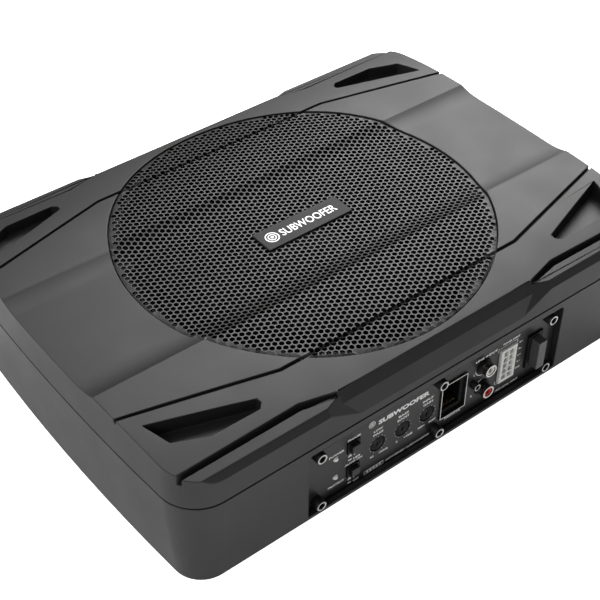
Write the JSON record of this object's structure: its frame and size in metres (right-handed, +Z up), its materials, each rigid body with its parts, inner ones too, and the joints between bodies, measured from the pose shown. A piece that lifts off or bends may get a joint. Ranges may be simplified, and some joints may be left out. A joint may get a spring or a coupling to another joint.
{
  "type": "powered car subwoofer",
  "caption": "Slim under-seat powered subwoofer: rectangular box, round perforated grille over the driver, recessed end panel with controls, sockets and fuse.",
  "frame": {"origin": "centre of the footprint on the underside", "axes": "+Z up, X along the long side, the control panel faces -Y"},
  "size_m": [0.3462, 0.2526, 0.082],
  "materials": {
    "cover_plastic": "fine textured",
    "housing_plastic": "fine textured",
    "gasket_foam": "matte",
    "screw_zinc": "zinc plated",
    "screw_black": "black oxide, bare rim",
    "grille_metal": "powder coated",
    "badge_plate": "satin, light print",
    "basket_steel": "black coated",
    "surround_rubber": "matte",
    "cone_paper": "pressed pulp",
    "cap_gloss": "satin",
    "former_film": "amber film",
    "coil_copper": "enamelled wire",
    "spider_cloth": "resin-set cloth",
    "motor_steel": "plain",
    "ferrite": "sintered",
    "panel_plate": "black, white print",
    "led_white": "diffused",
    "black_moulding": "moulded",
    "black_gloss": "moulded",
    "shield_nickel": "nickel",
    "contact_gold": "gold flash",
    "white_moulding": "moulded",
    "red_moulding": "moulded",
    "fuse_grey": "translucent grey",
    "board_green": "solder mask",
    "sink_aluminium": "extruded"
  },
  "bodies": {
    "enclosure": {"top_cover": "cover_plastic", "lower_housing": "housing_plastic", "housing_gasket": "gasket_foam", "cover_screws": "screw_zinc", "grille": "grille_metal", "grille_badge": "badge_plate", "speaker_basket": "basket_steel", "frame_gasket": "gasket_foam", "frame_screws": "screw_zinc", "surround": "surround_rubber", "trim_ring": "gasket_foam", "spider": "spider_cloth", "top_plate": "motor_steel", "magnet": "ferrite", "yoke": "motor_steel", "control_panel": "panel_plate", "panel_screws": "screw_black", "block_screw": "screw_black", "power_led": "led_white", "protect_led": "led_white", "switch_bodies": "black_moulding", "pot_bodies": "black_moulding", "remote_shell": "shield_nickel", "remote_insert": "black_moulding", "remote_contacts": "contact_gold", "rca_block": "black_moulding", "rca_shells": "shield_nickel", "rca_insert_white": "white_moulding", "rca_insert_red": "red_moulding", "rca_contacts": "contact_gold", "power_header": "white_moulding", "power_pins": "shield_nickel", "fuse_holder": "black_moulding", "circuit_board": "board_green", "board_screws": "screw_zinc", "heat_sink": "sink_aluminium", "power_transistors": "black_gloss", "capacitors": "black_gloss", "toroid": "coil_copper"},
    "cone_assembly": {"cone": "cone_paper", "dust_cap": "cap_gloss", "coil_former": "former_film", "voice_coil": "coil_copper"},
    "phase_button": {"phase_button": "black_gloss"},
    "input_button": {"input_button": "black_gloss"},
    "gain_knob": {"gain_knob": "black_moulding"},
    "crossover_knob": {"crossover_knob": "black_moulding"},
    "boost_knob": {"boost_knob": "black_moulding"},
    "blade_fuse": {"blade_fuse": "fuse_grey"}
  },
  "joints": [
    {"name": "cone_travel", "type": "slide", "parent": "enclosure", "child": "cone_assembly", "axis": [0, 0, 1], "range_m": [-0.003, 0.003], "stiffness_N_per_m": 6000, "deforming": ["surround", "spider"]},
    {"name": "phase_push", "type": "slide", "parent": "enclosure", "child": "phase_button", "axis": [0, 1, 0], "range_m": [0, 0.002], "stiffness_N_per_m": 300, "springref_m": -0.002},
    {"name": "input_push", "type": "slide", "parent": "enclosure", "child": "input_button", "axis": [0, 1, 0], "range_m": [0, 0.002], "stiffness_N_per_m": 300, "springref_m": -0.002},
    {"name": "gain_turn", "type": "hinge", "parent": "enclosure", "child": "gain_knob", "pos_m": [-0.0422, -0.1199, 0.0222], "axis": [0, -1, 0], "range_deg": [-150, 150]},
    {"name": "crossover_turn", "type": "hinge", "parent": "enclosure", "child": "crossover_knob", "pos_m": [-0.0241, -0.1199, 0.0222], "axis": [0, -1, 0], "range_deg": [-150, 150]},
    {"name": "boost_turn", "type": "hinge", "parent": "enclosure", "child": "boost_knob", "pos_m": [-0.006, -0.1199, 0.0222], "axis": [0, -1, 0], "range_deg": [-150, 150]},
    {"name": "fuse_pull", "type": "slide", "parent": "enclosure", "child": "blade_fuse", "axis": [0, -1, 0], "range_m": [0, 0.022]}
  ]
}
